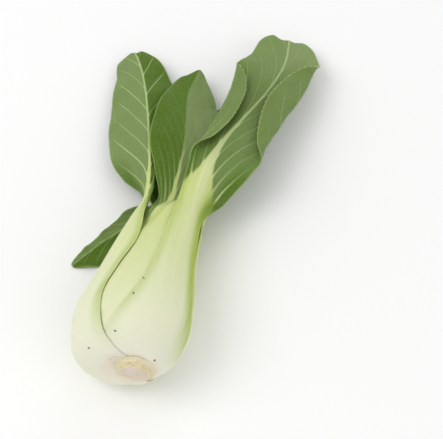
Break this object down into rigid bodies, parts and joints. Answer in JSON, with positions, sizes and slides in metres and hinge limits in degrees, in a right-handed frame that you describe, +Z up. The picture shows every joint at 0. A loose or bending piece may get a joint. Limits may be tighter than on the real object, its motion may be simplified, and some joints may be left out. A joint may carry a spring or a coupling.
{
  "type": "bok choy head",
  "caption": "Head of bok choy lying on its side: pale swollen leaf stalks packed round a cut stem base, opening into green ribbed blades.",
  "frame": {"origin": "middle of the footprint's bounding box, on the surface the head lies on", "axes": "+Y along the head from the cut stem base to the leaf tips, +X to the head's right as seen from above with the base nearest, +Z up"},
  "size_m": [0.1262, 0.2596, 0.064],
  "materials": {
    "cut_stem": "matte, moist cut face",
    "outer_leaf": "satin, waxy",
    "inner_leaf": "satin, waxy"
  },
  "bodies": {
    "root": {"stem_base": "cut_stem", "leaf_left": "outer_leaf", "leaf_right": "outer_leaf", "leaf_back_left": "outer_leaf", "leaf_back_right": "outer_leaf", "leaf_middle": "inner_leaf", "leaf_under": "inner_leaf", "leaf_inner": "inner_leaf", "leaf_heart": "inner_leaf", "leaf_bud": "inner_leaf"}
  },
  "joints": []
}
